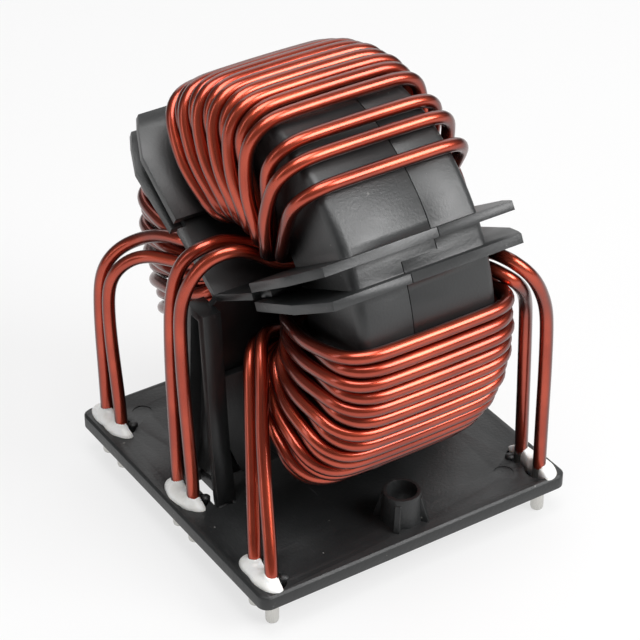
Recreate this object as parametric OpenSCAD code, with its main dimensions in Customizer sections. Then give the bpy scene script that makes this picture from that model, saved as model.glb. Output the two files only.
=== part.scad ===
// Common mode choke with three windings on one standing ring core.
// Lengths in mm, +Z up, ring axis along X, terminals below the base plate.
// The base plate, the two case halves, the core, the star insulator, six wires
// and six glue pads are the separate pieces of the part.

/* [Base plate] */
// Width of the square base plate
base_w = 64; // [63.6:0.1:70]
// Thickness of the base plate
base_t = 2.7; // [2.2:0.1:4]
// Corner radius of the base plate
base_corner = 2; // [1:0.1:4]
// Chamfer along the top edge of the base plate
base_edge = 0.4; // [0.2:0.05:0.8]
// Height of the two hollow posts on the base plate
post_h = 6; // [4:0.1:7]
// Outside radius of a post at its top
post_r = 3.4; // [3:0.1:4]
// Radius of the hole in a post
post_bore_r = 2.7; // [2:0.05:2.8]
// Distance of a post from the middle of the plate
post_y = 26; // [24.5:0.1:27.5]

/* [Terminals] */
// Distance of the terminal rows from the edges of the plate
term_edge = 3.8; // [3.4:0.1:4.2]
// Distance between neighbouring terminal pairs
term_pitch = 25.8; // [25:0.1:26.2]
// Distance between the two wires of a pair
pair_pitch = 5.4; // [5.2:0.1:5.6]
// Length of the tinned ends below the base plate
pin_len = 5.7; // [3:0.1:8]
// Diameter of the tinned ends
pin_d = 2.5; // [2.46:0.02:2.6]
// Radius of one lobe of a glue well
well_r = 2.6; // [2.4:0.05:2.8]
// Height of the glue above the plate
glue_h = 1; // [0.6:0.1:1.4]

/* [Case] */
// Height of the ring axis above the plate
axis_h = 38.9; // [38.5:0.1:41]
// Outside radius of the ring case
case_r = 33.8; // [33:0.1:34.4]
// Radius of the hole through the case
hole_r = 15.1; // [14.9:0.05:15.3]
// Width of the ring case along its axis
case_w = 26.8; // [25:0.1:27.4]
// Wall thickness of the case
case_wall = 1.6; // [1.2:0.1:2]
// Radius of the rounded case edges at the rim
case_edge = 1.8; // [1.5:0.1:2]
// Chamfer of the case edges at the hole
hole_edge = 2; // [1.8:0.1:2.2]
// Distance of the seam from the middle plane
seam_x = 3.5; // [2.5:0.1:4.5]
// Thickness of a partition flange
flange_t = 1.57; // [1.2:0.01:1.7]
// Reach of the flanges from the middle plane
flange_x = 21.5; // [20.5:0.1:22]
// Outside radius of the flanges
flange_r = 35.8; // [35.4:0.1:36.2]

/* [Star insulator] */
// Thickness of the blades
blade_t = 1.2; // [0.8:0.05:1.3]
// Reach of the upper blades from the middle plane
blade_x = 21.1; // [20:0.1:21.4]
// Reach of the two legs from the middle plane
leg_x = 25.2; // [24.8:0.1:25.3]

/* [Windings] */
// Diameter of the enamelled wire
wire_d = 2.4; // [1.8:0.05:2.4]
// Bend radius of the turns at the edges of the hole
bend_r = 4; // [3.8:0.1:4.4]
// Bend radius of the turns at the rim of the case
rim_bend = 5; // [4.6:0.1:5.4]
// Distance by which the turns bow off the faces of the case near the rim
rim_bow = 1.4; // [1.2:0.1:1.6]
// Distance of the wire axis from the case where the turns lie on it
lie = 1.65; // [1.55:0.05:1.8]
// Angle between two passes of a wire through the hole
hole_step = 12.2; // [12.1:0.05:12.3]
// Angle between neighbouring strands on the rim
rim_step = 4.8; // [4.6:0.1:4.9]

/* [Hidden] */
$fn = 96;

plate_z = pin_len + base_t;
term_x = base_w / 2 - term_edge;
axis_z = plate_z + axis_h;
half_w = case_w / 2;
wire_r = wire_d / 2;
pin_r = pin_d / 2;
pin_tip = 0.4;
pin_clear = 0.2;
pin_lap = 0.5;
wire_sides = 7;
play = 0.2;
seam_gap = 0.08;
lap = 2;
well_depth = 1.7;
flange_lean = 3.4;
flange_in = 0.81;
leg_in = flange_x + play;
leg_wall = 1.6;
leg_web = 1.2;
blade_cut = 1;
top_half = 2.8;
knee_half = 4.6;
knee_h = 12.3;
foot_half = 6.3;
nub_r = 0.85;
nub_h = 0.8;
nub_out = [2.2, 3.1];
mark_in = [9.5, 6.4];
mark_r = 1.8;
mark_depth = 0.15;
slot_in = 22.1;
slot_out = 25.6;
slot_half = 6.8;

black = [0.07, 0.07, 0.075];
copper = [0.72, 0.25, 0.14];
white = [0.93, 0.93, 0.9];
grey = [0.3, 0.3, 0.32];

// Places

// Point at x, radius r and angle a about the ring axis; a runs from the -Y side upward.
function at(x, r, a) = [x, -r * cos(a), axis_z + r * sin(a)];

// Turns a solid made about Z onto the ring axis, its X side toward -Y.
module on_ring() {
    multmatrix([[0, 0, 1, 0], [-1, 0, 0, 0], [0, -1, 0, axis_z], [0, 0, 0, 1]])
        children();
}

// Turns a profile of radius and axial place through the sector from a0 to a1.
module sector(a0, a1) {
    on_ring() rotate([0, 0, -a1]) rotate_extrude(angle = a1 - a0) children();
}

// Lays the XY plane along the ring axis and outward at angle a.
module in_arm(a) {
    multmatrix([[1, 0, 0, 0], [0, -cos(a), -sin(a), 0], [0, sin(a), -cos(a), axis_z], [0, 0, 0, 1]])
        children();
}

module at_pairs() {
    for (s = [-1, 1], k = [-1, 0, 1])
        translate([s * term_x, k * term_pitch, 0]) children();
}

// Base plate

module slab(z, h, cut) {
    w = base_w / 2;
    f = w - base_corner;
    for (t = [0, 90])
        rotate([0, 0, t]) translate([0, f, 0]) rotate([90, 0, 0]) linear_extrude(2 * f)
            polygon([[-w, z], [w, z], [w - cut, z + h], [-w + cut, z + h]]);
    for (x = [-f, f], y = [-f, f])
        translate([x, y, z]) cylinder(h = h, r1 = base_corner, r2 = base_corner - cut);
}

// Outline of the two glue lobes with their waist.
module lobes(z, h, r) {
    for (y = [-pair_pitch / 2, pair_pitch / 2])
        translate([0, y, z]) cylinder(h = h, r = r);
    translate([0, 0, z]) cylinder(h = h, r = 0.7 * r);
}

module post(y) {
    translate([0, y, plate_z - 0.5]) {
        cylinder(h = post_h + 0.5, r1 = post_r + 0.25, r2 = post_r);
        for (t = [45, 135])
            rotate([0, 0, t]) translate([-post_r - 0.7, -0.5, 0]) cube([2 * post_r + 1.4, 1, 2.5]);
    }
}

// Small round stud beside each pair of terminals.
module studs() {
    for (s = [-1, 1], k = [-1, 0, 1])
        translate([s * (term_x - nub_out[0]), k * term_pitch + s * nub_out[1], plate_z - 1])
            rotate_extrude() polygon([[0, 0], [nub_r, 0], [nub_r, 1 + nub_h / 2],
                [0.75 * nub_r, 1 + 0.8 * nub_h], [0.35 * nub_r, 1 + nub_h], [0, 1 + nub_h]]);
}

module base_plate() {
    color(black) studs();
    color(black)
    difference() {
        union() {
            slab(pin_len, base_t - base_edge, 0);
            slab(plate_z - base_edge, base_edge, base_edge);
            for (y = [-post_y, post_y]) post(y);
        }
        at_pairs() {
            lobes(plate_z - well_depth, well_depth + 1, well_r);
            for (y = [-pair_pitch / 2, pair_pitch / 2])
                translate([0, y, pin_len - 1]) cylinder(h = base_t + 2, r = pin_r + play);
        }
        for (s = [-1, 1])
            translate([s * (slot_in + slot_out) / 2 - (slot_out - slot_in) / 2, -slot_half, pin_len - 1])
                cube([slot_out - slot_in, 2 * slot_half, base_t + 2]);
        for (y = [-post_y, post_y])
            translate([0, y, pin_len - 1]) cylinder(h = base_t + post_h + 2, r = post_bore_r);
        for (s = [-1, 1])
            translate([s * (base_w / 2 - mark_in[0]), -s * (base_w / 2 - mark_in[1]), plate_z - mark_depth])
                cylinder(h = 1, r = mark_r);
    }
}

// Glue pads

module glue(s, k) {
    cap_r = (well_r * well_r + glue_h * glue_h) / (2 * glue_h);
    color(white)
    translate([s * term_x, k * term_pitch, 0])
    difference() {
        union() {
            lobes(plate_z - well_depth, well_depth, well_r - 0.05);
            for (y = [-pair_pitch / 2, pair_pitch / 2])
                translate([0, y, plate_z]) intersection() {
                    translate([0, 0, glue_h - cap_r]) sphere(r = cap_r);
                    translate([0, 0, -0.2]) cylinder(h = glue_h + 1, r = well_r - 0.05);
                }
            translate([0, 0, plate_z - 0.2])
                cylinder(h = 0.2 + 0.55 * glue_h, r1 = 0.7 * well_r - 0.05, r2 = 0.4 * well_r);
        }
        for (y = [-pair_pitch / 2, pair_pitch / 2])
            translate([0, y, pin_len]) cylinder(h = base_t + glue_h + 1, r = pin_r + 0.05);
        translate([-s * nub_out[0], s * nub_out[1], pin_len])
            cylinder(h = base_t + glue_h + 1, r = nub_r + 0.05);
    }
}

// Case of the ring core

// Sectors of the case: their middle angle and the place of the seam in each.
sector_mid = [-30, 90, 210];
sector_seam = [-seam_x, seam_x, 0];

// Section of one half between the seam at x and the outer face on side s.
module half_section(s, x) {
    polygon(concat(
        [[hole_r, x], [hole_r, s * (half_w - hole_edge)], [hole_r + hole_edge, s * half_w]],
        [for (a = [90:-18:0])
            [case_r - case_edge * (1 - cos(a)), s * (half_w - case_edge * (1 - sin(a)))]],
        [[case_r, x]]));
}

// Partition flange on side w of an arm at angle a, from x to the edge on side s.
module flange(a, w, s, x) {
    top = flange_r - hole_r;
    in_arm(a) translate([0, hole_r, -w * flange_in]) rotate([-w * flange_lean, 0, 0])
        translate([0, 0, w > 0 ? -flange_t : 0]) linear_extrude(flange_t)
            polygon([[x, 0], [s * flange_x, 0], [s * flange_x, top - 7.8], [s * (flange_x - 1.8), top - 2.6],
                [s * (flange_x - 3), top], [x, top]]);
}

// Ring shaped step of the lap joint in both walls, from x0 to x1.
module lap_section(x0, x1, grow) {
    polygon([[case_r - case_wall - 1, x0], [case_r - case_wall / 2 + grow, x0],
        [case_r - case_wall / 2 + grow, x1], [case_r - case_wall - 1, x1]]);
    polygon([[hole_r + case_wall / 2 - grow, x0], [hole_r + case_wall + 1, x0],
        [hole_r + case_wall + 1, x1], [hole_r + case_wall / 2 - grow, x1]]);
}

module cavity() {
    on_ring() rotate_extrude()
        polygon([[hole_r + case_wall, -half_w + case_wall], [case_r - case_wall, -half_w + case_wall],
            [case_r - case_wall, half_w - case_wall], [hole_r + case_wall, half_w - case_wall]]);
}

// Widens the cut over sector k where it meets the deeper cut over sector j, in half s.
function over(s, k, j) = s * (sector_seam[j] - sector_seam[k]) > 0 ? 3 : 0;

module case_half(s) {
    reach = max([for (x = sector_seam) -s * x]);
    difference() {
        union() {
            difference() {
                on_ring() rotate_extrude() half_section(s, s * (seam_gap - reach));
                for (k = [0:2]) {
                    x = sector_seam[k] + s * seam_gap;
                    if (-s * sector_seam[k] < reach)
                        sector(sector_mid[k] - 60 - over(s, k, (k + 2) % 3),
                            sector_mid[k] + 60 + over(s, k, (k + 1) % 3))
                            polygon([[hole_r - 1, x], [case_r + 1, x], [case_r + 1, -s * (reach + 1)],
                                [hole_r - 1, -s * (reach + 1)]]);
                }
            }
            for (k = [0:2]) {
                x = sector_seam[k] + s * seam_gap;
                flange(sector_mid[k] - 60, 1, s, x);
                flange(sector_mid[k] + 60, -1, s, x);
                if (s < 0)
                    sector(sector_mid[k] - 55, sector_mid[k] + 55) lap_section(x - 1, x + lap, -0.05);
            }
        }
        cavity();
        if (s > 0)
            for (k = [0:2])
                sector(sector_mid[k] - 55.5, sector_mid[k] + 55.5)
                    lap_section(sector_seam[k], sector_seam[k] + lap + play, 0.05);
    }
}

module case_front() {
    color(black) case_half(-1);
}

module case_rear() {
    color(black) case_half(1);
}

module ring_core() {
    c = 1.2;
    r0 = hole_r + case_wall + 2 * play;
    r1 = case_r - case_wall - 2 * play;
    h = half_w - case_wall;
    color(grey)
    on_ring() rotate_extrude()
        polygon([[r0, -h + c], [r0 + c, -h], [r1 - c, -h], [r1, -h + c],
            [r1, h - c], [r1 - c, h], [r0 + c, h], [r0, h - c]]);
}

// Star insulator

module blade(a, outline) {
    in_arm(a) translate([0, 0, -blade_t / 2]) linear_extrude(blade_t) polygon(outline);
}

// Outline of the lower blade on side s, from the hub into the leg.
function lower_blade(s) = [[0, 0], [s * blade_x, 0], [s * (leg_in + leg_web / 2), blade_cut],
    [s * (leg_in + leg_web / 2), axis_h - 1], [s * (half_w + play), axis_h - 1],
    [s * (half_w + play), hole_r - play], [0, hole_r - play]];

// Solid between heights z, with the half widths y, from x0 to x1 on side s.
module upright(s, x0, x1, y, z) {
    multmatrix([[0, 0, 1, s > 0 ? x0 : -x1], [1, 0, 0, 0], [0, 1, 0, 0], [0, 0, 0, 1]])
        linear_extrude(x1 - x0)
            polygon([[-y[0], z[0]], [y[0], z[0]], [y[1], z[1]], [y[2], z[2]], [-y[2], z[2]], [-y[1], z[1]]]);
}

// Channel shaped leg on side s, open outward, with a tongue at each end of its slot.
module leg(s) {
    y = [foot_half, knee_half, top_half];
    z = [plate_z, plate_z + knee_h, axis_z - blade_cut];
    wall = [leg_wall, leg_wall, leg_wall];
    difference() {
        upright(s, leg_in, leg_x, y, z);
        upright(s, leg_in + leg_web, leg_x + 1, y - wall, z - [1, 0, leg_wall]);
        upright(s, leg_in - 1, leg_x + 1, [foot_half - leg_wall, foot_half - leg_wall - 0.3, 1],
            [plate_z - 1, plate_z + 1, plate_z + 1.7]);
    }
    for (d = [-1, 1])
        translate([s * (slot_in + play + leg_x) / 2 - (leg_x - slot_in - play) / 2,
            d * (foot_half - leg_wall / 2 - 0.05) - (leg_wall - 0.1) / 2, pin_len + 0.3])
            cube([leg_x - slot_in - play, leg_wall - 0.1, base_t]);
}

module star_insulator() {
    ear = half_w + play;
    tip = hole_r - play;
    color(black) {
        for (a = [30, 150])
            blade(a, [[blade_x, 0], [blade_x, tip - 1], [blade_x - 1, tip], [-ear, tip], [-ear, tip + 3],
                [-blade_x + 1.6, tip + 3], [-blade_x + 1.6, tip - 0.8], [-blade_x, tip - 0.8], [-blade_x, 0]]);
        for (s = [-1, 1]) {
            blade(270, lower_blade(s));
            leg(s);
        }
    }
}

// Windings

// Each winding has two parallel wires: wire 1 lies on the case, wire 2 between its turns.
// All turns run outward on the rear face, over the rim and inward on the front face.
winding_mid = [-30, 90, 210];
turns = 7;

// Angles on the rim of wire w; the upper turns of the near winding lie closest together.
function near_rim(w) = [for (i = [0:turns - 1]) let(n = 2 * i + w - 8) -13.5 + (n < 0 ? 5.08 : 4.4) * n];
// The first turns of the top winding lie apart.
function top_rim(w) = [for (i = [0:turns - 1])
    [[55.3, 70.7, 86.2], [64.3, 80.5, 91.1]][w][min(i, 2)] + max(i - 2, 0) * 2 * rim_step];
function far_rim(w) = [for (i = [0:turns - 1]) 171.5 + rim_step * (2 * i + w)];
function rim(k, w) = k == 0 ? near_rim(w) : k == 1 ? top_rim(w) : far_rim(w);

first_angle = -47.5;
// Angle of pass i of wire w of winding k at the middle of the hole.
function pass(k, w, i) = winding_mid[k] + first_angle + hole_step * (i + w / 2);

coil_x = half_w + lie;
hole_pass = [hole_r - 1.45, hole_r - 3.6];
nest = [0, 1.85];
hole_bend = [bend_r, bend_r + 1.85];

// Bend of wire w at the edge of the hole on side s, at angle c.
function hole_corner(w, s, c) = let(b = hole_bend[w]) [for (t = [-90, -45, 0])
    at(s * (coil_x + nest[w] - b + b * cos(t)), hole_pass[w] + b + b * sin(t), c)];

// Distance that turn i of a wire stands off the case at the rim on side s. Wire 2 stands off
// more than wire 1, and in front the lower turns of the near winding do.
function stand_off(k, w, s, i) = rim_bow + (s < 0 ? 0.2 + 0.8 * w : 0.35 * w)
    + (s < 0 && k == 0 ? 0.5 * max(0, min(3, 4 - i)) : 0);

// Bend of radius b at the rim on side s, at angle q, which stands off by o.
function rim_corner(s, q, o, b) = [for (t = [0, 30, 60, 90])
    at(s * (coil_x + o - b + b * cos(t)), case_r + lie - b + b * sin(t), q)];

// Points of wire w on side s, from angle c in the hole to angle q on the rim.
function side_points(w, s, c, q, o) = let(a = hole_corner(w, s, c),
    b = rim_corner(s, q, o, rim_bend + (s < 0 ? 0.5 + 0.5 * (o - rim_bow) : 0)), m = (a[2] + b[0]) / 2)
    concat(a, w == 1 ? [[s * (coil_x + o / 2 + 1.7), m[1], m[2]]] : [], b);

// Points of turn i of wire w of winding k, from the rear of pass i to the front of pass i + 1.
function turn(k, w, i) = let(c = pass(k, w, i) + hole_step / 2, q = rim(k, w)[i],
    back = side_points(w, -1, c, q, stand_off(k, w, -1, i)), n = len(back)) concat(
    side_points(w, 1, c, q, stand_off(k, w, 1, i)), [for (j = [n - 1:-1:0]) back[j]]);

// Smooth curve through the points p, with more steps in the longer spans.
function bow(p) = let(n = len(p), d = dirs(p)) concat(
    [for (i = [0:n - 2]) let(l = norm(p[i + 1] - p[i]), m = l < 4 ? 1 : l < 16 ? 2 : 3)
        for (j = [0:m - 1]) let(t = j / m)
            (2 * t * t * t - 3 * t * t + 1) * p[i] + (t * t * t - 2 * t * t + t) * l * d[i]
            + (3 * t * t - 2 * t * t * t) * p[i + 1] + (t * t * t - t * t) * l * d[i + 1]],
    [p[n - 1]]);

// Leads from the terminals to the hole, first wire 1 and then wire 2 of each winding:
// [distance before the case, radius from the edge of the hole, angle].
near_start = [
    [[8.6, 8.1, -57.5], [6.6, 1.7, -57], [3, -5.2, -64], [-3, -4.6, -78.5], [-8, -2, -79.5]],
    [[8.6, 8.5, -47.4], [6.6, 2.4, -42], [2.6, -6.2, -38], [-2, -6.3, -52], [-6, -6.2, -66], [-10, -5, -72.6]]];
top_start = [
    [[14.6, -15, -80], [12.6, -8.4, 80.5], [9.6, -4.9, 78], [5.6, -3.8, 71.9], [0.6, -6, 62], [-1, -6.2, 52],
        [-4, -5.1, 43], [-8, -2.1, 40.8]],
    [[14.6, -11, 217], [12.6, -7.2, 112], [9.6, -5, 97], [5.6, -5.1, 98], [0.6, -6.6, 90], [-3, -6.4, 66],
        [-7, -6.2, 50], [-11, -4.6, 47]]];
far_start = [
    [[14.2, 15.6, 197.6], [11.6, 13.2, 188.1], [8.6, 10.9, 184], [6.8, 4.5, 174], [5.3, -0.5, 167],
        [1, -4.6, 161.5], [-7, -2.2, 160]],
    [[14.2, 13, 200], [11.6, 9.5, 190], [8.6, 7, 187], [6.4, 1, 186], [1, -6, 182], [-5, -6.2, 174],
        [-10, -4.9, 168]]];
// Leads from the hole down to the terminals behind the ring, in the same terms.
near_end = [
    [[3.2, 9, 14.8], [3.6, 14.2, 14.2], [6, 15.6, 10], [8.6, 14, 4], [11.4, 11.6, -8.8]],
    [[6, 8, 17.5], [4.8, 14.5, 18.9], [7.8, 16.9, 13.2], [10.3, 16.3, 5.4], [13, 15.3, -7]]];
top_end = [
    [[3.4, 5.5, 136], [7.5, 6.5, 134], [11.5, 3, 122], [14.4, -3, 104], [14.8, -9, 64]],
    [[8.6, 2, 128], [12, -1.6, 119], [14.4, -7, 120], [14.8, -11, 155]]];
far_end = [
    [[5.5, 6.6, 253], [9.6, 11.5, 248], [13.6, 19, 241]],
    [[8.6, 5.2, 248], [12, 11, 242], [14.4, 19, 236]]];

starts = [near_start, top_start, far_start];
ends = [near_end, top_end, far_end];
start_side = [[1, -1], [-1, 1], [1, -1]];
end_side = [[1, -1], [-1, 1], [-1, 1]];

function foot_of(s, k, side) = let(y = k * term_pitch + side * pair_pitch / 2) [
    [s * term_x, y, plate_z + glue_h + 0.1], [s * term_x, y, plate_z + glue_h + 1.4]];

function start_lead(k, w) = concat(foot_of(-1, k - 1, start_side[k][w]),
    [for (p = starts[k][w]) at(-half_w - p[0], hole_r + p[1], p[2])],
    [at(0, hole_pass[w], pass(k, w, 0))]);

// Wire 1 leaves the hole as in any turn, wire 2 passes straight out over it.
function exit(k, w) = let(c = pass(k, w, turns)) w == 0 ? hole_corner(0, 1, c + hole_step / 2)
    : [at(half_w - 5.4, hole_r - 3.9, c + 4.9), at(half_w - 0.4, hole_r - 4.1, c + 6),
        at(half_w + 3.5, hole_r - 2.5, c + 4.4), at(half_w + 5.2, hole_r + 1.4, c + 0.4)];

function end_lead(k, w) = let(f = foot_of(1, k - 1, end_side[k][w])) concat(
    [at(0, hole_pass[w], pass(k, w, turns))], exit(k, w),
    [for (p = ends[k][w]) at(half_w + p[0], hole_r + p[1], p[2])], [f[1], f[0]]);

// Tinned end of a wire below the plate, with its tip chamfered.
module pin(p) {
    translate([p[0], p[1], 0]) cylinder(h = pin_tip, r1 = pin_r - pin_tip, r2 = pin_r);
    translate([p[0], p[1], pin_tip]) cylinder(h = pin_len - pin_clear - pin_tip, r = pin_r);
}

module wire(k, w) {
    path = wire_path(k, w);
    color(copper) {
        sweep(path, wire_r);
        pin(path[0]);
        pin(path[len(path) - 1]);
    }
}

// Point inside the top of the pin straight below p.
function pin_top(p) = [p[0], p[1], pin_len - pin_lap];

function wire_path(k, w) = let(a = bow(start_lead(k, w)), b = bow(end_lead(k, w))) concat(
    [pin_top(a[0])], a, [for (i = [0:turns - 1]) each turn(k, w, i)], b, [pin_top(b[len(b) - 1])]);

function unit(v) = v / norm(v);
function dirs(p) = let(n = len(p)) [for (i = [0:n - 1]) unit(p[min(i + 1, n - 1)] - p[max(i - 1, 0)])];
function sides_of(t) = [for (i = 0, u = unit(cross(t[0], [0.3, 1, 0.2])); i < len(t);
    i = i + 1, u = i < len(t) ? unit(u - (u * t[i]) * t[i]) : u) u];

// Closed tube of radius r along the points p.
module sweep(p, r) {
    t = dirs(p);
    u = sides_of(t);
    n = wire_sides;
    m = len(p);
    points = [for (i = [0:m - 1]) let(v = cross(t[i], u[i])) for (j = [0:n - 1])
        p[i] + r * (cos(360 * j / n) * u[i] + sin(360 * j / n) * v)];
    faces = concat([[for (j = [0:n - 1]) j]], [[for (j = [n - 1:-1:0]) (m - 1) * n + j]],
        [for (i = [0:m - 2], j = [0:n - 1]) let(a = i * n + j, b = i * n + (j + 1) % n) each
            [[a, a + n, b + n], [a, b + n, b]]]);
    polyhedron(points, faces, convexity = 10);
}

base_plate();
case_front();
case_rear();
ring_core();
star_insulator();
wire(0, 0);  // wire_near_1
wire(0, 1);  // wire_near_2
wire(1, 0);  // wire_top_1
wire(1, 1);  // wire_top_2
wire(2, 0);  // wire_far_1
wire(2, 1);  // wire_far_2
glue(-1, -1);  // glue_front_near
glue(-1, 0);  // glue_front_middle
glue(-1, 1);  // glue_front_far
glue(1, -1);  // glue_rear_near
glue(1, 0);  // glue_rear_middle
glue(1, 1);  // glue_rear_far
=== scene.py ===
from math import ceil, cos, pi, radians, sin

import bmesh
import bpy
import numpy as np
from bpy.props import FloatProperty, FloatVectorProperty, IntProperty, PointerProperty
from bpy.types import NodeSocket, Operator, Panel, PropertyGroup
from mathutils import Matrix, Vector, noise


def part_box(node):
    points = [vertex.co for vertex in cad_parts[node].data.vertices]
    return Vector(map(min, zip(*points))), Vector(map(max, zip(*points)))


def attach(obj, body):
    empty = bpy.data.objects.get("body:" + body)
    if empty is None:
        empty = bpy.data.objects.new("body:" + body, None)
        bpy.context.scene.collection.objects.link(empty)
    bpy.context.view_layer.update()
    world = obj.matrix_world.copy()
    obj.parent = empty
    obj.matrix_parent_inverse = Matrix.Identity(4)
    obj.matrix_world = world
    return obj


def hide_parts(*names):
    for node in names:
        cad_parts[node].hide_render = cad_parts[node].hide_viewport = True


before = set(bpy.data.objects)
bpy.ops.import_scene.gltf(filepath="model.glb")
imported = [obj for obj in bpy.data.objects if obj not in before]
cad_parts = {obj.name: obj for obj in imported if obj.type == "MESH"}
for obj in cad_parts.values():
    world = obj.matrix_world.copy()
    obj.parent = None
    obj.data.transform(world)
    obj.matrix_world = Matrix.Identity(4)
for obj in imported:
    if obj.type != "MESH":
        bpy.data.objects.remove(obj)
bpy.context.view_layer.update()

bl_info = {
    "name": "Common mode choke",
    "version": (1, 0, 0),
    "blender": (4, 5, 0),
    "location": "3D View > Sidebar > Choke",
    "description": "Dresses a three winding common mode choke on its base",
    "category": "Object",
}

MM = 0.001
BODY = "root"

# Sizes and places of the solids in millimetres and degrees, as in the part's source

PIN_LEN = 5.7
PLATE_Z = PIN_LEN + 2.7  # top of the plate
AXIS_Z = PLATE_Z + 38.9
GLUE_H = 1.0
CASE_R = 33.8
HOLE_R = 15.1
HALF_W = 13.4  # half the width of the case
TERM_X = 28.2
TERM_PITCH = 25.8
PAIR_PITCH = 5.4  # between the two wires of a terminal
POST_Y = 26.0
POST_R = 3.4

# Windings, in millimetres and degrees

WINDINGS = ("near", "top", "far")
NEAR, TOP = 0, 1
WINDING_MID = (-30, 90, 210)
WINDING_Y = (-TERM_PITCH, 0, TERM_PITCH)  # of the terminals
TURNS = 7
FRONT, REAR = -1, 1  # sides of the case along X
LIE = 1.65  # from the case to the middle of a wire that lies on it
COIL_X = HALF_W + LIE
NEST = (0, 1.85)  # of the first wire, and of the second, which lies over it
MIDWAY_BOW = 1.7  # of the second wire, halfway from the hole to the rim

HOLE_PASS = (HOLE_R - 1.45, HOLE_R - 3.6)  # radius of each wire's passes
FIRST_ANGLE = -47.5  # first pass, from the middle of its winding
HOLE_STEP = 12.2
BEND_R = 4.0
HOLE_BEND = (BEND_R, BEND_R + NEST[1])

RIM_STEP = 4.8  # between neighbouring strands on the rim
TOP_FIRST = ((55.3, 70.7, 86.2), (64.3, 80.5, 91.1))  # first three turns of each wire
FAR_FIRST = 171.5
NEAR_MID = -13.5
NEAR_BELOW = 8  # strands that come before NEAR_MID
STEP_BELOW, STEP_ABOVE = 5.08, 4.4  # between strands before and after NEAR_MID
RIM_BEND = 5.0
FRONT_BEND = 0.5  # added at the front
RIM_BOW = 1.4  # distance of a strand off the case at the rim
REAR_NEST_BOW = 0.35  # added for the second wire
FRONT_BOW, FRONT_NEST_BOW = 0.2, 0.8  # added at the front, and for the second wire there
LOOSE_BOW = 0.5  # added at the near front for each turn short of LOOSE_TURNS
LOOSE_TURNS, MOST_LOOSE = 4, 3

# Leads between the terminals and the hole: distance from the case, radius from the
# edge of the hole, angle about the ring axis

STARTS = (
    (((8.6, 8.1, -57.5), (6.6, 1.7, -57), (3, -5.2, -64), (-3, -4.6, -78.5), (-8, -2, -79.5)),
     ((8.6, 8.5, -47.4), (6.6, 2.4, -42), (2.6, -6.2, -38), (-2, -6.3, -52), (-6, -6.2, -66),
      (-10, -5, -72.6))),
    (((14.6, -15, -80), (12.6, -8.4, 80.5), (9.6, -4.9, 78), (5.6, -3.8, 71.9), (0.6, -6, 62),
      (-1, -6.2, 52), (-4, -5.1, 43), (-8, -2.1, 40.8)),
     ((14.6, -11, 217), (12.6, -7.2, 112), (9.6, -5, 97), (5.6, -5.1, 98), (0.6, -6.6, 90),
      (-3, -6.4, 66), (-7, -6.2, 50), (-11, -4.6, 47))),
    (((14.2, 15.6, 197.6), (11.6, 13.2, 188.1), (8.6, 10.9, 184), (6.8, 4.5, 174),
      (5.3, -0.5, 167), (1, -4.6, 161.5), (-7, -2.2, 160)),
     ((14.2, 13, 200), (11.6, 9.5, 190), (8.6, 7, 187), (6.4, 1, 186), (1, -6, 182),
      (-5, -6.2, 174), (-10, -4.9, 168))),
)
ENDS = (
    (((3.2, 9, 14.8), (3.6, 14.2, 14.2), (6, 15.6, 10), (8.6, 14, 4), (11.4, 11.6, -8.8)),
     ((6, 8, 17.5), (4.8, 14.5, 18.9), (7.8, 16.9, 13.2), (10.3, 16.3, 5.4), (13, 15.3, -7))),
    (((3.4, 5.5, 136), (7.5, 6.5, 134), (11.5, 3, 122), (14.4, -3, 104), (14.8, -9, 64)),
     ((8.6, 2, 128), (12, -1.6, 119), (14.4, -7, 120), (14.8, -11, 155))),
    (((5.5, 6.6, 253), (9.6, 11.5, 248), (13.6, 19, 241)),
     ((8.6, 5.2, 248), (12, 11, 242), (14.4, 19, 236))),
)

# The second wire's way out of the hole, as the leads but with the angle from its last pass

LAST_EXIT = ((-5.4, -3.9, 4.9), (-0.4, -4.1, 6), (3.5, -2.5, 4.4), (5.2, 1.4, 0.4))

# Side of its terminal along Y that each wire of a winding starts and ends on

START_SIDE = ((1, -1), (-1, 1), (1, -1))
END_SIDE = ((1, -1), (-1, 1), (-1, 1))

FOOT_HEIGHTS = (0.1, 1.4)  # upright part of a lead over the glue
TIP_HEIGHTS = (0, 0.12, 0.5, 3, PIN_LEN, PLATE_Z)
TIP_CUTS = (0.45, 0.1)  # off the radius at the first two heights
COARSE_SPANS = (4, 16)  # a longer span of a lead gets a part more
FINE_BEND, FINE_SPAN = 7, 4  # most degrees and most length of a part of the route
LINE_STEP = 0.85  # between the points of the finished line
LEAD_X = HALF_W + 6  # a wire further out than this is a lead
RIM_SIDE_R = 24  # further from the axis than this it is near the rim
SETTLE_ROUNDS, RIM_ROUNDS = 18, 8
FREE_PULL, HOLE_PULL = 0.5, 0.08  # share of the way to the middle of both neighbours
LEAST_FACES = 1000  # of a wire with all its turns

# Poured glue: its outline as a share of the pad in the frame, then its dome

POUR_RINGS, POUR_SIDES = 22, 72
OUTLINE_SHARE = 1.1
OUTLINE_POWER = 2.5  # 2 is an ellipse, more is squarer
OUTLINE_WANDER = 0.2
WANDER_RING = (3, 1.7)  # radius and height that the noise is read at
WANDER_SCALE = 0.35
TAIL_SHARE, TAIL_POWER = 0.08, 40
INNER_EDGE, INNER_WANDER, INNER_SCALE = 0.9, 0.5, 1.7
LEAST_INWARD = 0.05  # puts the inner edge far off in all outward directions
CORNER_POWER = 6  # the higher, the sharper the ends of the inner edge
DOME_POWERS = (3.2, 0.6)  # flatness of the top and steepness of the edge
MENISCUS_WIDTH, MENISCUS_POWER = 0.5, 0.4
LUMP, LUMP_LEVEL, LUMP_SCALE = 0.16, 4.0, 0.6
GLUE_SUNK = 0.02
SKIRT_DEPTH = 1.65  # into the well
POLE_GAP = 1e-7  # metres, joins the points at the middle of a dome

# Ribs of a post, their reach from the surfaces of the post and the plate

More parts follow.
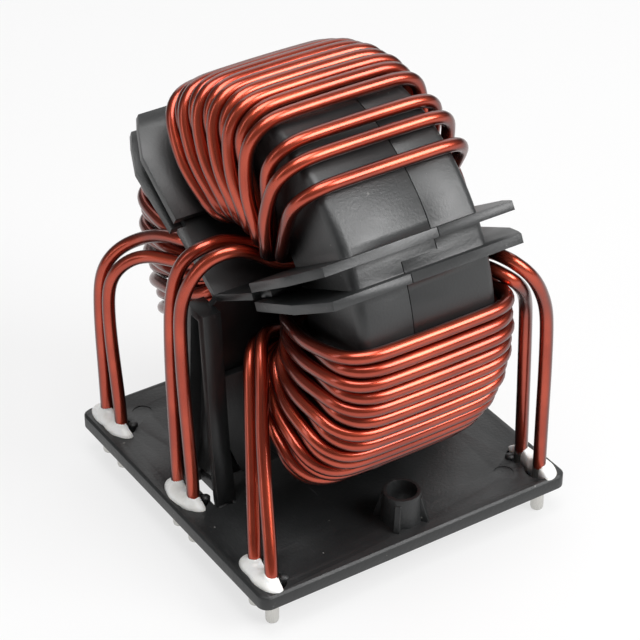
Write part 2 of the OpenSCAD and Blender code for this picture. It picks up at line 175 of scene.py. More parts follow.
RIB_ANGLES = (45, 135, 225, 315)
RIB_H = 4.9
RIB_T = 1.15
RIB_FOOT, RIB_TOP, RIB_HEEL = 1.45, 0.2, 0.35
RIB_IN_POST, RIB_IN_PLATE = 0.45, 0.15

# Edges of the moulded pieces

WELD_GAP = 2e-6  # metres, joins the points that the frame's faces share
EDGE_ANGLE = 38.0
FINE_EDGE = 0.7  # share of the edge radius on thin ribs and blades

# Looks that no setting gives

SCUFF_COLOUR = (0.10, 0.10, 0.105)
DUST_COLOUR = (0.34, 0.33, 0.31)
TIN_COLOUR = (0.62, 0.61, 0.58)
CORE_COLOURS = ((0.05, 0.05, 0.055), (0.11, 0.11, 0.115))
TIN_FADE, TIN_WAVER = (0.5, 1.1), 1.6  # edge of the tin in millimetres
CLEAR_FILM = 0.55  # weight of the clear coat on the enamel
DUST_ROUGHNESS = 0.25
SCUFF_HEIGHT, PIT_HEIGHT = 0.35, 0.35  # beside the fine noise of the same skin

# Stage in metres: name, place, size and radiance of each lamp, then the floor

LAMPS = (
    ("Overhead", (-0.07, -0.10, 0.62), (0.40, 0.40), 5.2),
    ("Key", (0.30, -0.43, 0.44), (0.36, 0.36), 9.0),
    ("Back", (0.36, 0.56, 0.45), (0.9, 0.6), 1.3),
    ("Left", (-0.62, 0.10, 0.32), (0.12, 0.5), 2.0),
)
LAMP_TARGET = (0, 0, 0.045)
FLOOR_HALF = 3  # half its width
FLOOR_Z = -0.0002

# The camera of the photograph, its place in millimetres

CAMERA_PLACE = (-192.58, -295.94, 274.35)
CAMERA_DIP = 34.13  # degrees below level
CAMERA_TURN = -33.06
LENS, SENSOR = 136.65, 36
CLIP_START = 0.01


# Route of a wire

def at(x, r, a):
    """Point at x, radius r and angle a about the ring axis."""
    return np.array([x, -r * cos(radians(a)), AXIS_Z + r * sin(radians(a))])


def rim_angles(k, w):
    """Angles on the rim of the turns of wire w of winding k."""
    if k == TOP:
        first = TOP_FIRST[w]
        return [first[min(i, 2)] + max(i - 2, 0) * 2 * RIM_STEP for i in range(TURNS)]
    if k == NEAR:
        places = [2 * i + w - NEAR_BELOW for i in range(TURNS)]
        return [NEAR_MID + (STEP_BELOW if n < 0 else STEP_ABOVE) * n for n in places]
    return [FAR_FIRST + RIM_STEP * (2 * i + w) for i in range(TURNS)]


def hole_pass(k, w, i):
    """Angle of pass i of a wire through the middle of the hole."""
    return WINDING_MID[k] + FIRST_ANGLE + HOLE_STEP * (i + w / 2)


def hole_corner(w, s, c):
    """The bend of wire w out of the hole on to side s, at angle c."""
    b = HOLE_BEND[w]
    return [at(s * (COIL_X + NEST[w] - b + b * cos(t)), HOLE_PASS[w] + b + b * sin(t), c)
            for t in (-pi / 2, -pi / 4, 0)]


def stand_off(k, w, s, i):
    """Distance that turn i stands off the case at the rim on side s."""
    if s == REAR:
        return RIM_BOW + REAR_NEST_BOW * w
    loose = LOOSE_BOW * max(0, min(MOST_LOOSE, LOOSE_TURNS - i)) if k == NEAR else 0
    return RIM_BOW + FRONT_BOW + FRONT_NEST_BOW * w + loose


def rim_corner(s, q, o, b):
    """The bend from side s on to the rim at angle q, stood off by o, with radius b."""
    return [at(s * (COIL_X + o - b + b * cos(t)), CASE_R + LIE - b + b * sin(t), q)
            for t in (0, pi / 6, pi / 3, pi / 2)]


def side_points(w, s, c, q, o):
    """Points of wire w on side s, from the hole at angle c to the rim at angle q."""
    a = hole_corner(w, s, c)
    wider = FRONT_BEND + (o - RIM_BOW) / 2 if s == FRONT else 0
    b = rim_corner(s, q, o, RIM_BEND + wider)
    if w == 1:
        m = (a[2] + b[0]) / 2
        a.append(np.array([s * (COIL_X + o / 2 + MIDWAY_BOW), m[1], m[2]]))
    return a + b


def turn(k, w, i):
    """Points of one turn, from the rear of a pass to the front of the next one."""
    c = hole_pass(k, w, i) + HOLE_STEP / 2
    q = rim_angles(k, w)[i]
    return (side_points(w, REAR, c, q, stand_off(k, w, REAR, i))
            + side_points(w, FRONT, c, q, stand_off(k, w, FRONT, i))[::-1])


def foot(s, k, side):
    """The upright part of a lead over its terminal, from below."""
    y = WINDING_Y[k] + side * PAIR_PITCH / 2
    return [np.array([s * TERM_X, y, PLATE_Z + GLUE_H + h]) for h in FOOT_HEIGHTS]


def start_lead(k, w):
    """Points from the front terminal to the middle of the first pass."""
    return (foot(FRONT, k, START_SIDE[k][w])
            + [at(-HALF_W - p[0], HOLE_R + p[1], p[2]) for p in STARTS[k][w]]
            + [at(0, HOLE_PASS[w], hole_pass(k, w, 0))])


def end_lead(k, w):
    """Points from the middle of the last pass to the rear terminal."""
    c = hole_pass(k, w, TURNS)
    if w == 0:
        out = hole_corner(0, REAR, c + HOLE_STEP / 2)
    else:
        out = [at(HALF_W + p[0], HOLE_R + p[1], c + p[2]) for p in LAST_EXIT]
    return ([at(0, HOLE_PASS[w], c)] + out
            + [at(HALF_W + p[0], HOLE_R + p[1], p[2]) for p in ENDS[k][w]]
            + foot(REAR, k, END_SIDE[k][w])[::-1])


def unit(v):
    """The vector with a length of one."""
    return v / np.linalg.norm(v)


def smooth(points, parts_of):
    """A curve through the points; parts_of gives the number of parts of each span."""
    n = len(points)
    d = [unit(points[min(i + 1, n - 1)] - points[max(i - 1, 0)]) for i in range(n)]
    out = []
    for i in range(n - 1):
        p, q = points[i], points[i + 1]
        length = np.linalg.norm(q - p)
        parts = parts_of(length, float(np.dot(d[i], d[i + 1])))
        for j in range(parts):
            t = j / parts
            out.append((2 * t ** 3 - 3 * t ** 2 + 1) * p
                       + (t ** 3 - 2 * t ** 2 + t) * length * d[i]
                       + (3 * t ** 2 - 2 * t ** 3) * q
                       + (t ** 3 - t ** 2) * length * d[i + 1])
    return out + [points[-1]]


def coarse(length, _):
    """Number of parts of a span of a lead, by its length alone."""
    return 1 + sum(length >= span for span in COARSE_SPANS)


def fine(length, along):
    """Number of parts of a span of the route; along is the cosine of its bend."""
    bend = np.degrees(np.arccos(min(1, max(-1, along))))
    return max(1, ceil(bend / FINE_BEND), ceil(length / FINE_SPAN))


def even(line):
    """The same line with its points an even step apart."""
    line = np.array(line)
    run = np.r_[0, np.cumsum(np.linalg.norm(np.diff(line, axis=0), axis=1))]
    places = np.linspace(0, run[-1], int(run[-1] / LINE_STEP) + 1)
    return np.stack([np.interp(places, run, line[:, j]) for j in range(3)], axis=1)


def settle(line):
    """Rounds the bends as stiff wire does, more at the rim than at the hole."""
    for i in range(SETTLE_ROUNDS):
        radius = np.hypot(line[1:-1, 1], line[1:-1, 2] - AXIS_Z)
        lead = abs(line[1:-1, 0]) > LEAD_X
        wound = np.where(radius > RIM_SIDE_R, FREE_PULL * (i < RIM_ROUNDS), HOLE_PULL)
        pull = np.where(lead, FREE_PULL, wound)[:, None]
        line[1:-1] += pull * ((line[:-2] + line[2:]) / 2 - line[1:-1])
    return line


def wire_route(k, w):
    """The centre line of one wire, from the tip of its first pin to the tip of its last."""
    points = smooth(start_lead(k, w), coarse)
    for i in range(TURNS):
        points += turn(k, w, i)
    points += smooth(end_lead(k, w), coarse)
    line = settle(even(smooth(points, fine)))
    first, last = ([np.array([p[0], p[1], z]) for z in TIP_HEIGHTS]
                   for p in (line[0], line[-1]))
    return first + list(line) + last[::-1]


# Mesh helpers

def shade_smooth(mesh):
    """Shades all faces of a mesh smooth."""
    mesh.polygons.foreach_set("use_smooth", [True] * len(mesh.polygons))


def new_piece(name, verts, faces, material, nodes, uv=None):
    """A piece of the object from its points in metres, riding on the body."""
    mesh = bpy.data.meshes.new(name)
    mesh.from_pydata([tuple(v) for v in verts], [], faces)
    mesh.update()
    if uv is not None:
        layer = mesh.uv_layers.new(name="UVMap")
        for loop in mesh.loops:
            layer.data[loop.index].uv = uv[loop.vertex_index]
    shade_smooth(mesh)
    obj = bpy.data.objects.new(name, mesh)
    bpy.context.scene.collection.objects.link(obj)
    mesh.materials.append(material)
    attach(obj, BODY)
    if nodes:
        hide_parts(*nodes)
    return obj


def tube(line, radii, sides):
    """Points, faces and texture places of a closed round tube along a line in metres."""
    n = len(line)
    t = [unit(line[min(i + 1, n - 1)] - line[max(i - 1, 0)]) for i in range(n)]
    u = unit(np.cross(t[0], (0.3, 1, 0.2)))  # any direction across the start
    verts, uv, run = [], [], 0.0
    for i in range(n):
        u = unit(u - np.dot(u, t[i]) * t[i])
        v = np.cross(t[i], u)
        run += np.linalg.norm(line[i] - line[i - 1]) if i else 0
        for j in range(sides):
            a = 2 * pi * j / sides
            verts.append(line[i] + radii[i] * (cos(a) * u + sin(a) * v))
            uv.append((run, abs(2 * j / sides - 1)))
    faces = []
    for i in range(n - 1):
        for j in range(sides):
            a, b = i * sides + j, i * sides + (j + 1) % sides
            faces.append((a, b, b + sides, a + sides))
    faces.append(tuple(range(sides))[::-1])
    faces.append(tuple(range((n - 1) * sides, n * sides)))
    return verts, faces, uv


def soften(obj, radius):
    """Rounds the sharp edges of an object, with a radius in millimetres."""
    bevel = obj.modifiers.new("Soft edges", "BEVEL")
    bevel.width = radius * MM
    bevel.segments = 2
    bevel.limit_method = "ANGLE"
    bevel.angle_limit = radians(EDGE_ANGLE)
    bevel.use_clamp_overlap = True
    bevel.harden_normals = True


def dress(node, material, edge):
    """Gives a node of the frame its material and softly rounded edges."""
    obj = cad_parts[node]
    obj.data.materials.clear()
    obj.data.materials.append(material)
    shade_smooth(obj.data)
    weld = obj.modifiers.new("Weld", "WELD")
    weld.merge_threshold = WELD_GAP
    soften(obj, edge)


# Shader helpers. Each value is a number, a colour, or the socket that gives it.

def feed(tree, socket, value):
    """Gives a socket its value."""
    if isinstance(value, NodeSocket):
        tree.links.new(value, socket)
    else:
        socket.default_value = value


def add(tree, kind, place, **values):
    """A shader node with its settings and inputs by name, with _ for a blank."""
    n = tree.nodes.new(kind)
    n.location = place
    for name, value in values.items():
        if name in n.bl_rna.properties:
            setattr(n, name, value)
        else:
            feed(tree, n.inputs[name.replace("_", " ")], value)
    return n


def noise_at(tree, place, vector, **values):
    """Noise at the points of a vector socket."""
    return add(tree, "ShaderNodeTexNoise", place, Vector=vector, **values).outputs[0]


def cells_at(tree, place, vector, scale):
    """Distance from the nearest middle of a field of cells."""
    n = add(tree, "ShaderNodeTexVoronoi", place, Vector=vector, Scale=scale)
    return n.outputs["Distance"]


def stretched(tree, place, vector, **values):
    """The points of a vector socket, turned and scaled."""
    return add(tree, "ShaderNodeMapping", place, Vector=vector, **values).outputs[0]


def ramp(tree, place, value, low, high, to=(0, 1)):
    """A smooth step of a value between low and high."""
    n = add(tree, "ShaderNodeMapRange", place, interpolation_type="SMOOTHSTEP", Value=value,
            From_Min=low, From_Max=high, To_Min=to[0], To_Max=to[1])
    return n.outputs[0]


def calc(tree, place, operation, *values, clamp=False):
    """The result of one operation on the values."""
    n = add(tree, "ShaderNodeMath", place, operation=operation, use_clamp=clamp)
    for socket, value in zip(n.inputs, values):
        feed(tree, socket, value)
    return n.outputs[0]


def mix_colour(tree, place, share, low, high):
    """A mix of two colours, each of three values or a socket."""
    n = add(tree, "ShaderNodeMix", place, data_type="RGBA")
    feed(tree, n.inputs[0], share)
    for socket, value in ((n.inputs[6], low), (n.inputs[7], high)):
        feed(tree, socket, value if isinstance(value, NodeSocket) else (*value, 1))
    return n.outputs[2]


def bump(tree, place, height, strength, depth):
    """A normal bent by a height, with a depth in millimetres."""
    n = add(tree, "ShaderNodeBump", place, Height=height, Strength=strength,
            Distance=depth * MM)
    return n.outputs[0]


def shade(colour, *shares):
    """The colour times one share, or times one each for red, green and blue."""
    return [min(1, c * share) for c, share in zip(colour, shares * 3)]


def principled(name):
    """A new material with its node tree and its shader."""
    mat = bpy.data.materials.new(name)
    mat.use_nodes = True
    tree = mat.node_tree
    return mat, tree, tree.nodes["Principled BSDF"]


def new_group(name, inputs, outputs):
    """A shader node group that puts out numbers, with its two end nodes."""
    tree = bpy.data.node_groups.new(name, "ShaderNodeTree")
    for label, kind, default in inputs:
        s = tree.interface.new_socket(label, in_out="INPUT", socket_type=kind)
        if default is not None:
            s.default_value = default
    for label in outputs:
        tree.interface.new_socket(label, in_out="OUTPUT", socket_type="NodeSocketFloat")
    return tree, add(tree, "NodeGroupInput", (-900, 0)), add(tree, "NodeGroupOutput", (700, 0))


# Materials

def moulding_group():
    """Skin of moulded plastic: pits, flow streaks, handling scuffs and dust."""
    name = "Moulded skin"
    if name in bpy.data.node_groups:
        return bpy.data.node_groups[name]
    tree, gin, gout = new_group(
        name,
        (("Vector", "NodeSocketVector", None), ("Grain", "NodeSocketFloat", 2600.0),
         ("Scuff", "NodeSocketFloat", 0.5), ("Dust", "NodeSocketFloat", 0.5)),
        ("Scuff", "Dust", "Cloud", "Height"))
    place = gin.outputs["Vector"]
    grain = noise_at(tree, (-600, 300), place, Scale=gin.outputs["Grain"], Detail=3.0)
    cloud = noise_at(tree, (-600, 60), place, Scale=140.0, Detail=4.0, Roughness=0.6)
    flow = stretched(tree, (-800, -160), place, Rotation=(0.4, 0.7, 0.9),
                     Scale=(1.0, 0.12, 0.5))
    streak = noise_at(tree, (-600, -160), flow, Scale=1500.0, Detail=2.0)
    scratch = ramp(tree, (-400, -160), streak, 0.64, 0.72)
    handled = ramp(tree, (-400, 60), cloud, 0.5, 0.72)
    both = calc(tree, (-200, -100), "MULTIPLY", scratch, handled)
    scuff = calc(tree, (0, -100), "MULTIPLY", both, gin.outputs["Scuff"])
    specks = cells_at(tree, (-600, -400), place, 620.0)
    size = noise_at(tree, (-600, -620), place, Scale=330.0, Detail=1.0)
    reach = ramp(tree, (-400, -620), size, 0.52, 0.8, (0.0, 0.17))
    inside = calc(tree, (-200, -400), "LESS_THAN", specks, reach)
    dust = calc(tree, (0, -400), "MULTIPLY", inside, gin.outputs["Dust"])
    height = calc(tree, (0, 200), "MULTIPLY_ADD", scuff, SCUFF_HEIGHT, grain)
    results = {"Scuff": scuff, "Dust": dust, "Cloud": cloud, "Height": height}
    for label, value in results.items():
        feed(tree, gout.inputs[label], value)
    return tree


def moulded_plastic(name, colour, roughness, grain, scuff, dust, depth, sheen=0.6):
    """Black moulded plastic with its own grain, scuffs and dust."""
    mat, tree, shader = principled(name)
    link = tree.links.new
    place = add(tree, "ShaderNodeTexCoord", (-1300, 0)).outputs["Object"]
    skin = add(tree, "ShaderNodeGroup", (-1000, 0), node_tree=moulding_group(), Vector=place,
               Grain=grain, Scuff=scuff, Dust=dust).outputs
    tone = mix_colour(tree, (-700, 300), skin["Cloud"], shade(colour, 0.85),
                      shade(colour, 1.2))
    worn = mix_colour(tree, (-500, 300), skin["Scuff"], tone, SCUFF_COLOUR)
    dusty = mix_colour(tree, (-300, 300), skin["Dust"], worn, DUST_COLOUR)
    link(dusty, shader.inputs["Base Color"])
    rough = ramp(tree, (-700, 0), skin["Cloud"], 0.3, 0.7,
                 (roughness - 0.03, roughness + 0.04))
    rougher = calc(tree, (-300, 0), "MULTIPLY_ADD", skin["Dust"], DUST_ROUGHNESS, rough,
                   clamp=True)
    link(rougher, shader.inputs["Roughness"])
    link(bump(tree, (-300, -250), skin["Height"], 0.5, depth), shader.inputs["Normal"])
    shader.inputs["Specular IOR Level"].default_value = sheen
    return mat


def wire_enamel(s):
    """Clear red enamel on copper, with painted shade where it is seen at a slant, tinned at
    the ends.
    """
    mat, tree, shader = principled("Enamelled copper")
    link = tree.links.new
    place = add(tree, "ShaderNodeTexCoord", (-1500, 0)).outputs
    film = noise_at(tree, (-1200, 300), place["Object"], Scale=90.0, Detail=3.0)
    spread = ramp(tree, (-1050, 150), film, 0.35, 0.65)
    tint = mix_colour(tree, (-900, 300), spread, shade(s.enamel, 0.82),
                      shade(s.enamel, 1.12, 1.25, 1.25))
    # Painted shade: the base colour darkens towards the slanted sides of each wire. It stands
    # in for the falloff from highlight to dark brown that the lamps do not give. A small part
    # of it is real, from the longer path through the enamel.
    facing = add(tree, "ShaderNodeLayerWeight", (-1100, 550), Blend=0.5).outputs["Facing"]
    painted_shade_share = ramp(tree, (-900, 550), facing, 0.10, 0.66)
    painted_side_shade = mix_colour(tree, (-700, 450), painted_shade_share, tint, shade(s.enamel, 0.20, 0.24, 0.30))
    axes = add(tree, "ShaderNodeSeparateXYZ", (-1300, -500), Vector=place["Object"]).outputs
    edge = noise_at(tree, (-1300, -700), place["Object"], Scale=900.0, Detail=2.0)
    level = calc(tree, (-1100, -600), "MULTIPLY_ADD", edge, TIN_WAVER * MM, axes["Z"])
    low, high = ((PLATE_Z + GLUE_H + s.tinned + fade) * MM for fade in TIN_FADE)
    tin = ramp(tree, (-900, -600), level, low, high, (1, 0))
    link(mix_colour(tree, (-500, 300), tin, painted_side_shade, TIN_COLOUR), shader.inputs["Base Color"])
    drawn = stretched(tree, (-1400, -200), place["UV"], Scale=(30.0, 9.0, 1.0))
    lines = noise_at(tree, (-1200, -200), drawn, Scale=3.0, Detail=3.0)
    rough = ramp(tree, (-900, -200), lines, 0.3, 0.75, (s.gloss, s.gloss + 0.12))
    link(rough, shader.inputs["Roughness"])
    link(bump(tree, (-500, -250), lines, 0.25, 0.02), shader.inputs["Normal"])
    coat = calc(tree, (-500, -400), "MULTIPLY_ADD", tin, -CLEAR_FILM, CLEAR_FILM)
    link(coat, shader.inputs["Coat Weight"])
    shader.inputs["Coat Roughness"].default_value = 0.11
    shader.inputs["Coat IOR"].default_value = 1.55
    shader.inputs["Metallic"].default_value = 0.88
    return mat


def white_glue(s):
    """Hardened white adhesive with a soft skin and fine bubbles."""
    mat, tree, shader = principled("White glue")
    link = tree.links.new
    place = add(tree, "ShaderNodeTexCoord", (-1200, 0)).outputs["Object"]
    soft = noise_at(tree, (-950, 250), place, Scale=420.0, Detail=3.0)
    spread = ramp(tree, (-780, 150), soft, 0.4, 0.75)
    tone = mix_colour(tree, (-600, 250), spread, s.colour, shade(s.colour, 0.86, 0.86, 0.84))
    link(tone, shader.inputs["Base Color"])
    link(ramp(tree, (-600, 0), soft, 0.3, 0.7, (0.22, 0.42)), shader.inputs["Roughness"])
    bubbles = cells_at(tree, (-950, -250), place, 900.0)
    pits = ramp(tree, (-750, -250), bubbles, 0.0, 0.25)
    wave = calc(tree, (-550, -250), "MULTIPLY_ADD", pits, PIT_HEIGHT, soft)
    link(bump(tree, (-300, -250), wave, 0.5, 0.12), shader.inputs["Normal"])
    shader.inputs["Subsurface Weight"].default_value = 0.25
    shader.inputs["Subsurface Radius"].default_value = (0.0012, 0.0011, 0.001)
    shader.inputs["Subsurface Scale"].default_value = 0.5
    return mat


def ferrite():
    """Dull grey ceramic of the core, sealed inside the case."""
    mat, tree, shader = principled("Core ceramic")
    link = tree.links.new
    place = add(tree, "ShaderNodeTexCoord", (-1000, 0)).outputs["Object"]
    grit = noise_at(tree, (-800, 0), place, Scale=1800.0, Detail=5.0)
    link(mix_colour(tree, (-400, 200), grit, *CORE_COLOURS), shader.inputs["Base Color"])
    link(ramp(tree, (-400, 0), grit, 0.3, 0.7, (0.6, 0.85)), shader.inputs["Roughness"])
    link(bump(tree, (-400, -200), grit, 0.5, 0.05), shader.inputs["Normal"])
    return mat


def pale_floor(s):
    """Matt floor that is paler as a background and in reflections."""
    mat, tree, shader = principled("Pale floor")
    link = tree.links.new
    place = add(tree, "ShaderNodeTexCoord", (-900, 0)).outputs["Object"]
    soft = noise_at(tree, (-700, 0), place, Scale=40.0, Detail=2.0)
    tone = mix_colour(tree, (-400, 0), soft, s.floor, shade(s.floor, 0.985))
    link(tone, shader.inputs["Base Color"])
    shader.inputs["Roughness"].default_value = 0.9
    glow = add(tree, "ShaderNodeEmission", (-100, -300), Color=(1, 1, 1, 1), Strength=1.0)
    path = add(tree, "ShaderNodeLightPath", (-700, 500)).outputs
    seen = calc(tree, (-500, 500), "MAXIMUM", path["Is Camera Ray"], path["Is Glossy Ray"])
    seen = calc(tree, (-300, 500), "MAXIMUM", seen, path["Is Transmission Ray"])
    share = calc(tree, (-50, 500), "MULTIPLY", seen, s.pale)
    blend = add(tree, "ShaderNodeMixShader", (350, 100))
    for socket, value in zip(blend.inputs, (share, shader.outputs[0], glow.outputs[0])):
        link(value, socket)
    link(blend.outputs[0], tree.nodes["Material Output"].inputs["Surface"])
    return mat


# Form of the glue

def glue_reach(x, y, half_x, half_y, a):
    """Distance from the middle of a pair of leads to the edge of its glue at angle a."""
    inward = 1 if x < 0 else -1
    ring, level = WANDER_RING
    spot = Vector((x + ring * cos(a), y + ring * sin(a), level)) * WANDER_SCALE
    tail = max(0.0, cos(a + inward * pi / 2)) ** TAIL_POWER
    edge = OUTLINE_SHARE + OUTLINE_WANDER * noise.noise(spot) + TAIL_SHARE * tail
    squared = ((abs(cos(a)) / half_x) ** OUTLINE_POWER
               + (abs(sin(a)) / half_y) ** OUTLINE_POWER)
    outer = edge / squared ** (1 / OUTLINE_POWER)
    inner = ((INNER_EDGE + INNER_WANDER * noise.noise(spot * INNER_SCALE))
             / max(inward * cos(a), LEAST_INWARD))
    return (outer ** -CORNER_POWER + inner ** -CORNER_POWER) ** (-1 / CORNER_POWER)


def glue_rise(s, f, px, py, near):
    """Height of the glue at share f of its reach and a distance near from a wire."""
    rise = s.height * (1 - f ** DOME_POWERS[0]) ** DOME_POWERS[1]
    rise += s.meniscus * np.exp(-near / MENISCUS_WIDTH) * (1 - f) ** MENISCUS_POWER
    rise += LUMP * noise.noise(Vector((px, py, LUMP_LEVEL)) * LUMP_SCALE) * (1 - f)
    return max(rise, 0.0)


# Settings

class WireSettings(PropertyGroup):
    """Size, colour and gloss of the wires"""
    diameter: FloatProperty(
        name="Diameter", description="Diameter of the enamelled wire in millimetres",
        default=2.4, min=1.8, max=2.6)
    sides: IntProperty(
        name="Sides", description="Flats round each wire", default=18, min=8, max=32)
    enamel: FloatVectorProperty(
        name="Enamel", description="Colour of the enamelled copper",
        subtype="COLOR", size=3, min=0, max=1, default=(0.53, 0.070, 0.033))
    gloss: FloatProperty(
        name="Roughness", description="Roughness under the clear film",
        subtype="FACTOR", default=0.26, min=0.05, max=0.6)
    tinned: FloatProperty(
        name="Tinned end", description="Height of the tin above the glue in millimetres",
        default=0.0, min=-3, max=5)


class MouldingSettings(PropertyGroup):
    """Colour, skin and edges of the moulded pieces"""
    colour: FloatVectorProperty(
        name="Plastic", description="Colour of the moulded plastic",
        subtype="COLOR", size=3, min=0, max=1, default=(0.0135, 0.0145, 0.015))
    roughness: FloatProperty(
        name="Roughness", description="Roughness of the moulded skin",
        subtype="FACTOR", default=0.43, min=0.1, max=0.9)
    edge: FloatProperty(
        name="Edge radius", description="Rounding of the moulded edges in millimetres",
        default=0.22, min=0.05, max=0.4)
    dust: FloatProperty(
        name="Dust", description="Amount of dust specks", subtype="FACTOR",
        default=0.5, min=0, max=1)


class GlueSettings(PropertyGroup):
    """Colour and form of the glue"""
    colour: FloatVectorProperty(
        name="Glue", description="Colour of the glue", subtype="COLOR",
        size=3, min=0, max=1, default=(0.94, 0.94, 0.92))
    height: FloatProperty(
        name="Dome height", description="Height of the glue over the plate in millimetres",
        default=1.2, min=0.6, max=2)
    meniscus: FloatProperty(
        name="Meniscus", description="Rise of the glue along the wires in millimetres",
        default=1.1, min=0, max=2)


class StageSettings(PropertyGroup):
    """Floor and light"""
    floor: FloatVectorProperty(
        name="Floor", description="Colour of the floor", subtype="COLOR",
        size=3, min=0, max=1, default=(0.75, 0.75, 0.75))
    pale: FloatProperty(
        name="Paleness",
        description="Share of plain white in the floor where it is background",
        subtype="FACTOR", default=0.72, min=0, max=0.8)
    light: FloatProperty(
        name="Lamps", description="Level of all lamps; at 1 a colour renders as written",
        default=1.0, min=0)
    world: FloatProperty(
        name="Room", description="Level of the even light of the room", default=0.12, min=0)


# Operators

class CHOKE_OT_windings(Operator):
    """Winds the six round wires and replaces their solids"""
    bl_idname = "choke.windings"
    bl_label = "Wind the wires"

    def execute(self, context):
        s = context.scene.choke_wire
        enamel = wire_enamel(s)
        for k, name in enumerate(WINDINGS):
            for w in (0, 1):
                line = wire_route(k, w)
                radii = [s.diameter / 2] * len(line)
                for i, cut in enumerate(TIP_CUTS):
                    radii[i] = radii[-1 - i] = s.diameter / 2 - cut
                verts, faces, uv = tube(np.array(line) * MM, np.array(radii) * MM, s.sides)
                if len(faces) < LEAST_FACES:
                    raise RuntimeError(f"the {name} winding has no turns")
                new_piece(f"winding_{name}_{w + 1}", verts, faces, enamel,
                          [f"wire_{name}_{w + 1}"], uv)
        return {"FINISHED"}


class CHOKE_OT_glue(Operator):
    """Pours a dome of glue round each pair of leads"""
    bl_idname = "choke.glue"
    bl_label = "Pour the glue"

    def execute(self, context):
        s = context.scene.choke_glue
        material = white_glue(s)
        wire = context.scene.choke_wire.diameter / 2
        for side, x in (("front", -TERM_X), ("rear", TERM_X)):
            for place, y in zip(("near", "middle", "far"), WINDING_Y):
                self.pour(s, material, f"glue_{side}_{place}", x, y, wire)
        return {"FINISHED"}

    def pour(self, s, material, node, x, y, wire):
        """A dome in rings about the middle of a pair of leads, with a skirt in the well."""
        low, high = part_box(node)
        half_x, half_y = (high.x - low.x) / 2 / MM, (high.y - low.y) / 2 / MM
        count = POUR_SIDES
        verts, faces = [], []
        for i in range(POUR_RINGS + 1):
            f = i / POUR_RINGS
            for j in range(count):
                a = 2 * pi * j / count
                reach = glue_reach(x, y, half_x, half_y, a)
                px, py = x + f * reach * cos(a), y + f * reach * sin(a)
                near = min(abs(((px - x) ** 2 + (py - y - d) ** 2) ** 0.5 - wire)
                           for d in (-PAIR_PITCH / 2, PAIR_PITCH / 2))
                rise = glue_rise(s, f, px, py, near)
                verts.append(Vector((px, py, PLATE_Z + rise - GLUE_SUNK)) * MM)
        for v in verts[POUR_RINGS * count:]:
            verts.append(Vector((v.x, v.y, (PLATE_Z - SKIRT_DEPTH) * MM)))
        for i in range(POUR_RINGS + 1):
            for j in range(count):
                a, b = i * count + j, i * count + (j + 1) % count
                faces.append((a, a + count, b + count, b))
        faces.append(tuple(range(len(verts) - count, len(verts)))[::-1])
        mesh_name = node.replace("glue_", "glue_dome_")
        obj = new_piece(mesh_name, verts, faces, material, [node])
        bm = bmesh.new()
        bm.from_mesh(obj.data)
        bmesh.ops.remove_doubles(bm, verts=bm.verts, dist=POLE_GAP)
        bmesh.ops.recalc_face_normals(bm, faces=bm.faces)
        bm.to_mesh(obj.data)
        bm.free()


class CHOKE_OT_base(Operator):
    """Finishes the moulded base plate"""
    bl_idname = "choke.base"
    bl_label = "Finish the base"

    def execute(self, context):
        s = context.scene.choke_moulding
        plastic = moulded_plastic("Base plastic", s.colour, s.roughness + 0.05, grain=1700.0,
                                  scuff=0.6, dust=s.dust, depth=0.12)
        dress("base_plate", plastic, s.edge)
        for name, y in (("near", -POST_Y), ("far", POST_Y)):
            self.brace(f"post_ribs_{name}", y, plastic, s.edge)
        return {"FINISHED"}

    def brace(self, name, y, plastic, edge):
        """Four ribs from the plate up the side of a post."""
        root, heel, top = POST_R - RIB_IN_POST, POST_R + RIB_FOOT, POST_R + RIB_TOP
        profile = ((root, -RIB_IN_PLATE), (heel, -RIB_IN_PLATE), (heel, RIB_HEEL),
                   (top, RIB_H), (root, RIB_H))
        n = len(profile)
        verts, faces = [], []
        for turned in RIB_ANGLES:
            c, t = cos(radians(turned)), sin(radians(turned))
            first = len(verts)
            for half in (-RIB_T / 2, RIB_T / 2):
                verts += [Vector((r * c - half * t, y + r * t + half * c, PLATE_Z + z)) * MM
                          for r, z in profile]
            faces += [tuple(range(first, first + n)),
                      tuple(range(first + n, first + 2 * n))[::-1]]
            for j in range(n):
                a, b = first + j, first + (j + 1) % n
                faces.append((b, a, a + n, b + n))
        soften(new_piece(name, verts, faces, plastic, []), edge * FINE_EDGE)


class CHOKE_OT_case(Operator):
    """Finishes both halves of the core's case and the core inside"""
    bl_idname = "choke.case"
    bl_label = "Finish the case"

    def execute(self, context):
        s = context.scene.choke_moulding
        plastic = moulded_plastic("Ring housing plastic", s.colour, s.roughness, grain=2100.0,
                                  scuff=0.35, dust=s.dust * 0.6, depth=0.075, sheen=0.85)
        for node in ("case_front", "case_rear"):
            dress(node, plastic, s.edge)
        dress("ring_core", ferrite(), s.edge)
        return {"FINISHED"}


class CHOKE_OT_insulator(Operator):
    """Finishes the star insulator that stands on the base"""
    bl_idname = "choke.insulator"
    bl_label = "Finish the insulator"

    def execute(self, context):
        s = context.scene.choke_moulding
        plastic = moulded_plastic("Insulator plastic", s.colour, s.roughness - 0.06,
                                  grain=2600.0, scuff=0.4, dust=s.dust * 0.5, depth=0.02)
        dress("star_insulator", plastic, s.edge * FINE_EDGE)
        return {"FINISHED"}


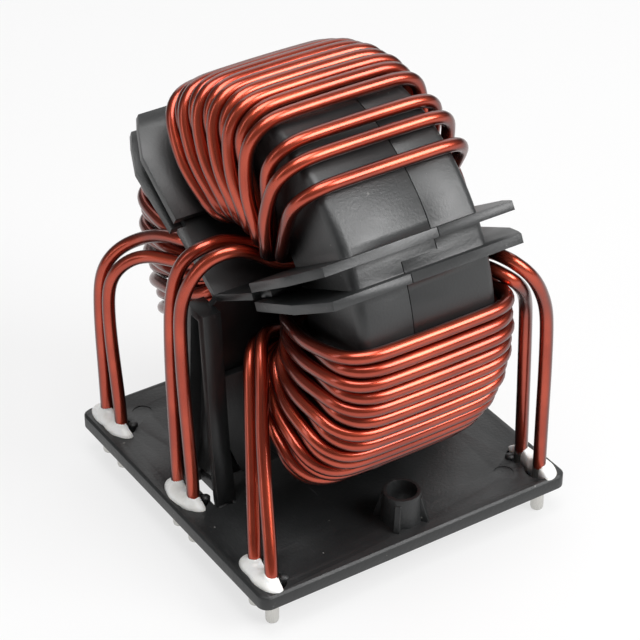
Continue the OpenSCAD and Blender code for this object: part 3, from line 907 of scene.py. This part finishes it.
class CHOKE_OT_stage(Operator):
    """Lays the floor and sets the lights and the camera"""
    bl_idname = "choke.stage"
    bl_label = "Set the stage"

    def execute(self, context):
        s = context.scene.choke_stage
        self.lay_floor(context, s)
        self.set_lights(context, s)
        self.set_camera(context)
        context.scene.view_settings.view_transform = "Standard"
        return {"FINISHED"}

    def lay_floor(self, context, s):
        """A wide floor just below the tips of the pins."""
        bm = bmesh.new()
        bmesh.ops.create_grid(bm, x_segments=2, y_segments=2, size=FLOOR_HALF)
        mesh = bpy.data.meshes.new("floor")
        bm.to_mesh(mesh)
        bm.free()
        mesh.materials.append(pale_floor(s))
        floor = bpy.data.objects.new("floor", mesh)
        floor.location.z = FLOOR_Z
        context.scene.collection.objects.link(floor)

    def set_lights(self, context, s):
        """The even light of the room and the four lamps."""
        world = context.scene.world or bpy.data.worlds.new("World")
        context.scene.world = world
        world.use_nodes = True
        tree = world.node_tree
        tree.nodes.clear()
        out = add(tree, "ShaderNodeOutputWorld", (300, 0))
        sky = add(tree, "ShaderNodeBackground", (0, 0), Color=(1, 1, 1, 1), Strength=s.world)
        tree.links.new(sky.outputs[0], out.inputs[0])
        for name, place, size, radiance in LAMPS:
            lamp = bpy.data.lights.new(name, "AREA")
            lamp.shape = "RECTANGLE"
            lamp.size, lamp.size_y = size
            lamp.energy = s.light * radiance * pi * size[0] * size[1]
            obj = bpy.data.objects.new(name, lamp)
            obj.location = place
            aim = Vector(LAMP_TARGET) - Vector(place)
            obj.rotation_euler = aim.to_track_quat("-Z", "Y").to_euler()
            context.scene.collection.objects.link(obj)

    def set_camera(self, context):
        """The camera of the photograph."""
        cam = bpy.data.cameras.new("Camera")
        cam.sensor_width = SENSOR
        cam.lens = LENS
        cam.clip_start = CLIP_START
        obj = bpy.data.objects.new("Camera", cam)
        obj.location = Vector(CAMERA_PLACE) * MM
        obj.rotation_euler = (radians(90 - CAMERA_DIP), 0, radians(CAMERA_TURN))
        context.scene.collection.objects.link(obj)
        context.scene.camera = obj


# Panel and registration

STEPS = (CHOKE_OT_windings, CHOKE_OT_glue, CHOKE_OT_base, CHOKE_OT_case, CHOKE_OT_insulator,
         CHOKE_OT_stage)


class CHOKE_PT_panel(Panel):
    """Settings and steps of the choke"""
    bl_label = "Common mode choke"
    bl_idname = "CHOKE_PT_panel"
    bl_space_type = "VIEW_3D"
    bl_region_type = "UI"
    bl_category = "Choke"

    def draw(self, context):
        scene = context.scene
        for group in (scene.choke_wire, scene.choke_moulding, scene.choke_glue,
                      scene.choke_stage):
            box = self.layout.box()
            for name in group.__annotations__:
                box.prop(group, name)
        for step in STEPS:
            self.layout.operator(step.bl_idname)


GROUPS = {"choke_wire": WireSettings, "choke_moulding": MouldingSettings,
          "choke_glue": GlueSettings, "choke_stage": StageSettings}


def register():
    """Registers the classes and hangs the settings on the scene."""
    for cls in (*GROUPS.values(), *STEPS, CHOKE_PT_panel):
        bpy.utils.register_class(cls)
    for name, cls in GROUPS.items():
        setattr(bpy.types.Scene, name, PointerProperty(type=cls))


def unregister():
    """Undoes what register() did."""
    for name in GROUPS:
        delattr(bpy.types.Scene, name)
    for cls in reversed((*GROUPS.values(), *STEPS, CHOKE_PT_panel)):
        bpy.utils.unregister_class(cls)


def main():
    """Runs every step in order."""
    register()
    bpy.ops.choke.windings()
    bpy.ops.choke.glue()
    bpy.ops.choke.base()
    bpy.ops.choke.case()
    bpy.ops.choke.insulator()
    bpy.ops.choke.stage()


if __name__ == "__main__":
    main()
